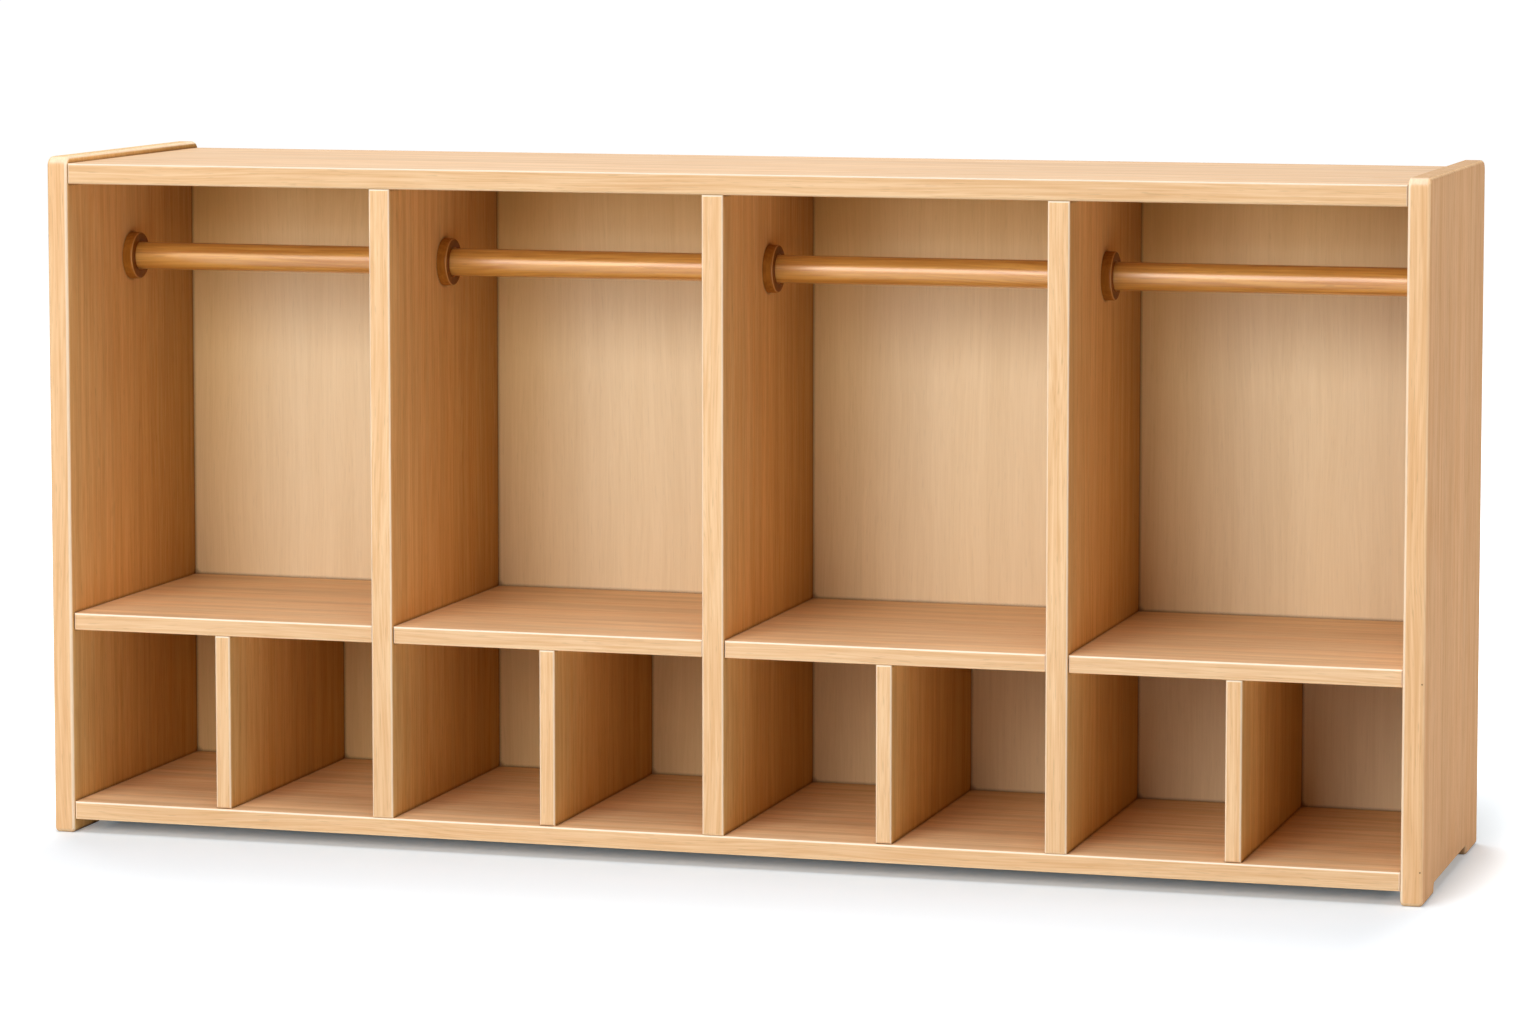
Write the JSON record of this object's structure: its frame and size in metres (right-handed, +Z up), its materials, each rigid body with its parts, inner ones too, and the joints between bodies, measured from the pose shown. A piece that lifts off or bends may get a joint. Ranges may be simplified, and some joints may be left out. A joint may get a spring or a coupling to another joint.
{
  "type": "open children's wardrobe",
  "caption": "Low open children's wardrobe in pale wood: side-by-side bays with round hanging rods in cup sockets, shelves, and small open cubbies below.",
  "frame": {"origin": "on the floor under the middle of the cabinet", "axes": "+X to the right along the cabinet's length, +Y from the open front to the back, +Z up"},
  "size_m": [1.22, 0.3, 0.6],
  "materials": {
    "panel_wood": "satin clear lacquer",
    "back_board": "satin clear lacquer",
    "rod_wood": "semi-gloss lacquer",
    "socket_wood": "semi-gloss stain",
    "dowel_wood": "raw",
    "screw_steel": "zinc plated"
  },
  "bodies": {
    "carcass": {"left_side_panel": "panel_wood", "right_side_panel": "panel_wood", "top_panel": "panel_wood", "bottom_panel": "panel_wood", "back_panel": "back_board", "divider_1": "panel_wood", "divider_2": "panel_wood", "divider_3": "panel_wood", "shelf_1": "panel_wood", "cubby_divider_1": "panel_wood", "rod_socket_left_1": "socket_wood", "rod_socket_right_1": "socket_wood", "shelf_2": "panel_wood", "cubby_divider_2": "panel_wood", "rod_socket_left_2": "socket_wood", "rod_socket_right_2": "socket_wood", "shelf_3": "panel_wood", "cubby_divider_3": "panel_wood", "rod_socket_left_3": "socket_wood", "rod_socket_right_3": "socket_wood", "shelf_4": "panel_wood", "cubby_divider_4": "panel_wood", "rod_socket_left_4": "socket_wood", "rod_socket_right_4": "socket_wood", "top_panel_dowels": "dowel_wood", "bottom_panel_dowels": "dowel_wood", "divider_dowels": "dowel_wood", "shelf_left_dowels": "dowel_wood", "shelf_right_dowels": "dowel_wood", "cubby_divider_dowels": "dowel_wood", "socket_screws_left": "screw_steel", "socket_screws_right": "screw_steel", "back_screws_dividers": "screw_steel", "back_screws_shelves": "screw_steel"},
    "hanging_rod_1": {"hanging_rod_1": "rod_wood"},
    "hanging_rod_2": {"hanging_rod_2": "rod_wood"},
    "hanging_rod_3": {"hanging_rod_3": "rod_wood"},
    "hanging_rod_4": {"hanging_rod_4": "rod_wood"}
  },
  "joints": [
    {"name": "hanging_rod_1_turn", "type": "hinge", "parent": "carcass", "child": "hanging_rod_1", "pos_m": [-0.45038, -0.008, 0.504], "axis": [1, 0, 0], "continuous": true},
    {"name": "hanging_rod_2_turn", "type": "hinge", "parent": "carcass", "child": "hanging_rod_2", "pos_m": [-0.15013, -0.008, 0.504], "axis": [1, 0, 0], "continuous": true},
    {"name": "hanging_rod_3_turn", "type": "hinge", "parent": "carcass", "child": "hanging_rod_3", "pos_m": [0.15013, -0.008, 0.504], "axis": [1, 0, 0], "continuous": true},
    {"name": "hanging_rod_4_turn", "type": "hinge", "parent": "carcass", "child": "hanging_rod_4", "pos_m": [0.45038, -0.008, 0.504], "axis": [1, 0, 0], "continuous": true}
  ]
}
